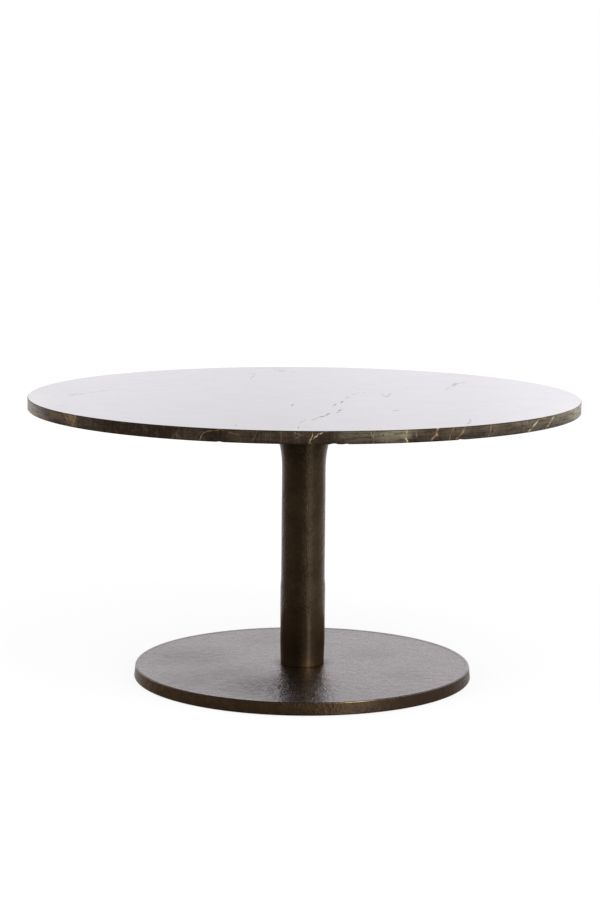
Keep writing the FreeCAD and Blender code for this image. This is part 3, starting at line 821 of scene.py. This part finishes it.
def base_bronze():
    """The same bronze on the foot disc, waxed on its leathery top, and duller round the column, with painted
    contact shade round the column, painted shade on the right of the rim and a painted highlight on its upper
    edge.
    """
    metal = Surface("cast_bronze_foot")
    patina = metal.noise(22.0, detail=5.0, rough=0.6)
    mottle = metal.noise(120.0, detail=4.0, rough=0.6)
    colour = metal.blend(metal.span(patina, 0.32, 0.68), DISC_DARK, DISC_BROWN)
    colour = metal.blend(metal.span(mottle, 0.52, 0.74, 0.0, 0.5), colour, DISC_PALE)
    # The rim is browner, and darker on the right with painted shade
    facing = metal.facing()
    side = metal.span(facing, 0.3, 0.8, 1.0, 0.0)
    brown = metal.blend(metal.span(mottle, 0.36, 0.64), SIDE_DARK, SIDE_BROWN)
    colour = metal.blend(metal.calc("MULTIPLY", side, SIDE_BROWNING), colour, brown)
    start, whole, strength = RIGHT_RIM_SHADE
    right_shade = metal.span(metal.part(metal.place, "X"), start, whole, 0.0, strength)
    colour = metal.blend(metal.calc("MULTIPLY", side, right_shade), colour, RIM_SHADE_DARK)
    # A warm highlight painted along a short length of the upper edge
    edge = metal.calc("MULTIPLY", metal.span(facing, 0.20, 0.45), metal.span(facing, 0.93, 0.99, 1.0, 0.0))
    middle, inner, outer, strength = PAINTED_EDGE_HIGHLIGHT
    painted_warm_band = metal.span(metal.vector("DISTANCE", metal.place, middle), inner, outer, strength, 0.0)
    painted_warm_band = metal.calc("MULTIPLY", edge, painted_warm_band)
    colour = metal.blend(painted_warm_band, colour, EDGE_HIGHLIGHT_GOLD)
    # Duller in places and in a ring round the column, where the darker reflection is painted contact shade
    flat = metal.level()
    away = metal.calc("ADD", metal.vector("LENGTH", flat), metal.vary(mottle, -0.003, 0.003))
    inside, outside, strength = DULL_SHADED_RING
    dull = metal.span(away, FOOT_RADIUS + inside, FOOT_RADIUS + outside, strength, 0.0)
    streaks = metal.noise(250.0, vector=metal.stretched((0.5, 1.0, 1.0)), rough=0.6)
    streaks = metal.span(streaks, 0.34, 0.66, 0.35, 1.0)
    for x, y, inner, outer, strength in DULL_PLACES:
        near = metal.vector("DISTANCE", flat, (x, y, 0.0))
        spot = metal.calc("MULTIPLY", metal.span(near, inner, outer, strength, 0.0), streaks)
        dull = metal.calc("MAXIMUM", dull, spot)
    tinted = metal.calc("MAXIMUM", dull, metal.calc("MULTIPLY", side, 0.5))
    wax = metal.calc("MULTIPLY", metal.span(dull, 0.0, 0.7, WAX_WEIGHT, 0.0, smooth=False),
                     metal.span(side, 0.0, 1.0, 1.0, 0.0, smooth=False))
    leather = metal.noise(70.0, detail=4.0, rough=0.52)
    grain = metal.noise(300.0, detail=2.0)
    skin = metal.bump(grain, depth=0.00080, under=metal.bump(leather, depth=0.00115))
    metal.set(
        Base_Color=colour,
        Metallic=1.0,
        Roughness=metal.calc("ADD", metal.vary(mottle, 0.25, 0.34), metal.calc("MULTIPLY", dull, 0.2)),
        Specular_Tint=metal.blend(tinted, WHITE, DULL_TINT),
        Normal=skin,
        Coat_Weight=wax,
        Coat_Roughness=WAX_ROUGHNESS,
        Coat_Normal=skin,
    )
    return metal.material


def powder_coat():
    paint = Surface("black_powder_coat")
    peel = paint.noise(900.0, detail=2.0)
    wear = paint.span(paint.noise(30.0, detail=4.0), 0.35, 0.7)
    paint.set(
        Base_Color=paint.blend(wear, (0.018, 0.018, 0.019), (0.032, 0.031, 0.030)),
        Roughness=paint.vary(peel, 0.42, 0.58),
        Normal=paint.bump(peel, depth=0.0001, strength=0.4),
    )
    return paint.material


def zinc_steel():
    steel = Surface("zinc_plated_steel")
    cloud = steel.noise(180.0)
    lathe_marks = steel.noise(900.0, detail=2.0, vector=steel.stretched((0.05, 0.05, 4.0)))
    steel.set(
        Base_Color=steel.tones(cloud, (0.36, 0.36, 0.34), (0.52, 0.51, 0.47)),
        Metallic=1.0,
        Roughness=steel.vary(cloud, 0.28, 0.42),
        Normal=steel.bump(lathe_marks, depth=0.00008, strength=0.4),
    )
    return steel.material


def turned_brass():
    brass = Surface("turned_brass")
    cloud = brass.noise(240.0)
    brass.set(
        Base_Color=brass.tones(cloud, (0.46, 0.29, 0.08), (0.60, 0.42, 0.15)),
        Metallic=1.0,
        Roughness=brass.vary(cloud, 0.22, 0.36),
    )
    return brass.material


def rubber():
    gum = Surface("black_rubber")
    grain = gum.noise(700.0)
    gum.set(
        Base_Color=gum.tones(grain, (0.010, 0.010, 0.010), (0.022, 0.021, 0.020)),
        Roughness=gum.vary(grain, 0.62, 0.80),
        Normal=gum.bump(grain, depth=0.0001, strength=0.4),
    )
    return gum.material


def nylon():
    plastic = Surface("moulded_nylon")
    grain = plastic.noise(500.0)
    scuffs = plastic.noise(60.0, detail=4.0, vector=plastic.stretched((1.0, 6.0, 1.0)))
    scuffs = plastic.span(scuffs, 0.45, 0.75)
    plastic.set(
        Base_Color=plastic.blend(scuffs, (0.030, 0.026, 0.022), (0.075, 0.068, 0.060)),
        Roughness=plastic.vary(grain, 0.40, 0.55),
        Normal=plastic.bump(grain, depth=0.0001, strength=0.3),
    )
    return plastic.material


def paint_frame():
    """Give each piece of the frame that is still shown the finish of its slot."""
    finishes = {
        "plate_steel": powder_coat(),
        "zinc_steel": zinc_steel(),
        "insert_brass": turned_brass(),
        "pad_rubber": rubber(),
        "glide_nylon": nylon(),
    }
    for row in frame["record"]["subparts"]:
        if row["material_slot"] in finishes:
            item = frame["nodes"][row["node"]]
            item.data.materials.clear()
            item.data.materials.append(finishes[row["material_slot"]])


# Studio: the room as polished surfaces see it, by bearing in degrees from the front, right positive
ROOM_LEVELS = [
    (-100, (0.42, 0.42, 0.44)),
    (-70, (0.38, 0.38, 0.39)),
    (-40, (0.34, 0.34, 0.34)),
    (-8, (0.38, 0.38, 0.38)),
    (10, (0.54, 0.55, 0.57)),
    (25, (0.72, 0.75, 0.79)),
    (50, (0.82, 0.86, 0.93)),
    (75, (0.80, 0.83, 0.90)),
    (100, (0.84, 0.86, 0.92)),
]
ROOM_REACH = 100.0
# Where they look down, by the upward part of the direction: steeply and barely, and how much of the room
# is left where it is steep
ROOM_DOWN = (-0.60, -0.22, 0.35)
# The bright wall behind, by its sideways direction
WALL_LEVELS = [(-0.15, 1.015), (-0.10, 0.995), (-0.02, 0.945), (0.06, 1.015), (0.11, 1.105), (0.15, 1.13)]
WALL_REACH = 0.15
WALL_COLOUR = (1.0, 0.980, 1.025)
# Where the wall begins and where it is whole, by the backward part of the direction
WALL_EDGE = (0.15, 0.75)
WALL_EDGE_BELOW = (0.38, 0.86)
# How much of it is left below the horizon, and where the horizon is, by the upward part
WALL_BELOW = 0.95
HORIZON = (-0.08, 0.02)
# An upright strip light: bearing, full and faded half width in degrees, colour
STRIP_LIGHT = (34.0, 2.0, 12.5, (1.0, 1.24, 1.66))
# A soft box: direction, full and faded half angle in degrees, strength
SOFT_BOX = ((0.390, -0.090, 0.920), 12.0, 26.0, 5.0)
FILL_LEVEL = 0.70


def studio():
    """White to the camera, a plain fill for matt surfaces, and a room and a bright wall for polished ones."""
    world = bpy.data.worlds.new("studio")
    bpy.context.scene.world = world
    world.use_nodes = True
    world.node_tree.nodes.clear()
    sky = Nodes(world.node_tree)
    way = sky.node("ShaderNodeTexCoord").outputs["Generated"]
    away = sky.node("ShaderNodeSeparateXYZ", {"Vector": way}).outputs
    turn = sky.calc("ARCTAN2", away["X"], sky.calc("MULTIPLY", away["Y"], -1.0))
    bearing = sky.calc("MULTIPLY", turn, math.degrees(1))
    steep, level, left_over = ROOM_DOWN
    room = sky.ramp(bearing, ROOM_REACH, ROOM_LEVELS)
    room = sky.vector("SCALE", room, scale=sky.span(away["Z"], steep, level, left_over, 1.0))
    middle, full, faded, colour = STRIP_LIGHT
    aside = sky.calc("ABSOLUTE", sky.calc("SUBTRACT", bearing, middle))
    strip = sky.vector("SCALE", colour, scale=sky.span(aside, full, faded, 1.0, 0.0))
    room = sky.vector("ADD", room, strip)
    direction, full, faded, strength = SOFT_BOX
    towards = sky.vector("DOT_PRODUCT", way, Vector(direction).normalized())
    edges = (math.cos(math.radians(faded)), math.cos(math.radians(full)))
    room = sky.vector("ADD", room, sky.span(towards, *edges, 0.0, strength))
    wall = sky.vector("MULTIPLY", sky.ramp(away["X"], WALL_REACH, WALL_LEVELS), WALL_COLOUR)
    below = sky.span(away["Y"], *WALL_EDGE_BELOW, 0.0, WALL_BELOW)
    above = sky.span(away["Y"], *WALL_EDGE)
    behind = sky.between(sky.span(away["Z"], *HORIZON), below, above)
    rays = sky.node("ShaderNodeLightPath").outputs
    fill = (FILL_LEVEL, FILL_LEVEL, FILL_LEVEL)
    light = sky.blend(rays["Is Glossy Ray"], fill, sky.blend(behind, room, wall))
    seen = sky.calc("MAXIMUM", rays["Is Camera Ray"], rays["Is Transmission Ray"])
    backdrop = sky.node("ShaderNodeBackground", {"Color": sky.blend(seen, light, WHITE)})
    sky.node("ShaderNodeOutputWorld", {"Surface": backdrop.outputs["Background"]})


FLOOR_SIZE = 14.0
FLOOR_GLOW = 1.06
FLOOR_PAPER = (0.95, 0.95, 0.95, 1.0)
SHADOW_SHARE = 0.20
# Where the shadow starts to fade and where it is gone, from the middle of the floor
SHADOW_REACH = (0.7, 1.9)


def floor():
    """A floor that is white to the camera, keeps a soft shadow, and can be seen through from below."""
    mesh = bmesh.new()
    bmesh.ops.create_grid(mesh, x_segments=1, y_segments=1, size=FLOOR_SIZE / 2)
    item = new_object("studio_floor", mesh)
    material = bpy.data.materials.new("white_floor")
    material.use_nodes = True
    material.node_tree.nodes.clear()
    ground = Nodes(material.node_tree)
    away = ground.vector("LENGTH", ground.node("ShaderNodeTexCoord").outputs["Object"])
    shadow = ground.span(away, *SHADOW_REACH, SHADOW_SHARE, 0.0)
    rays = ground.node("ShaderNodeLightPath").outputs
    seen = ground.calc("MAXIMUM", rays["Is Camera Ray"], rays["Is Transmission Ray"])
    glow = ground.node("ShaderNodeEmission", {"Strength": FLOOR_GLOW}).outputs[0]
    paper = ground.node("ShaderNodeBsdfDiffuse", {"Color": FLOOR_PAPER}).outputs[0]
    share = ground.between(seen, 1.0, shadow)
    lit = ground.node("ShaderNodeMixShader", {0: share, 1: glow, 2: paper}).outputs[0]
    clear = ground.node("ShaderNodeBsdfTransparent").outputs[0]
    underside = ground.node("ShaderNodeNewGeometry").outputs["Backfacing"]
    both = ground.node("ShaderNodeMixShader", {0: underside, 1: lit, 2: clear}).outputs[0]
    ground.node("ShaderNodeOutputMaterial", {"Surface": both})
    item.data.materials.append(material)
    item.visible_glossy = False


# Soft lamps: name, place, size and power
LAMPS = [
    ("soft_key", (1.8, -2.4, 2.6), 2.2, 60.0),
    ("soft_fill", (-2.4, -1.6, 2.2), 2.4, 30.0),
]
LAMP_TARGET = (0.0, 0.0, 0.2)


def lamps():
    for name, place, size, power in LAMPS:
        data = bpy.data.lights.new(name, "AREA")
        data.shape = "SQUARE"
        data.size = size
        data.energy = power
        item = bpy.data.objects.new(name, data)
        item.location = place
        item.rotation_euler = (Vector(LAMP_TARGET) - Vector(place)).to_track_quat("-Z", "Y").to_euler()
        item.visible_glossy = False
        bpy.context.scene.collection.objects.link(item)


# Camera, fitted to the outlines in the photo
CAMERA_PLACE = (0.0, -3.423, 0.8118)
CAMERA_TURN = math.radians(0.098)
CAMERA_DIP = math.radians(7.919)
CAMERA_ROLL = math.radians(0.48)
CAMERA_LENS = 94.88
SENSOR_WIDTH = 36.0


def camera():
    data = bpy.data.cameras.new("camera")
    data.lens = CAMERA_LENS
    data.sensor_width = SENSOR_WIDTH
    item = bpy.data.objects.new("camera", data)
    tilt = Matrix.Rotation(math.pi / 2 - CAMERA_DIP, 4, "X") @ Matrix.Rotation(CAMERA_ROLL, 4, "Z")
    turn = Matrix.Rotation(CAMERA_TURN, 4, "Z")
    item.matrix_world = Matrix.Translation(CAMERA_PLACE) @ turn @ tilt
    bpy.context.scene.collection.objects.link(item)
    bpy.context.scene.camera = item


marble_top(marble())
column(column_bronze())
base_disc(base_bronze())
paint_frame()
studio()
floor()
lamps()
camera()
bpy.context.scene.view_settings.view_transform = "Standard"
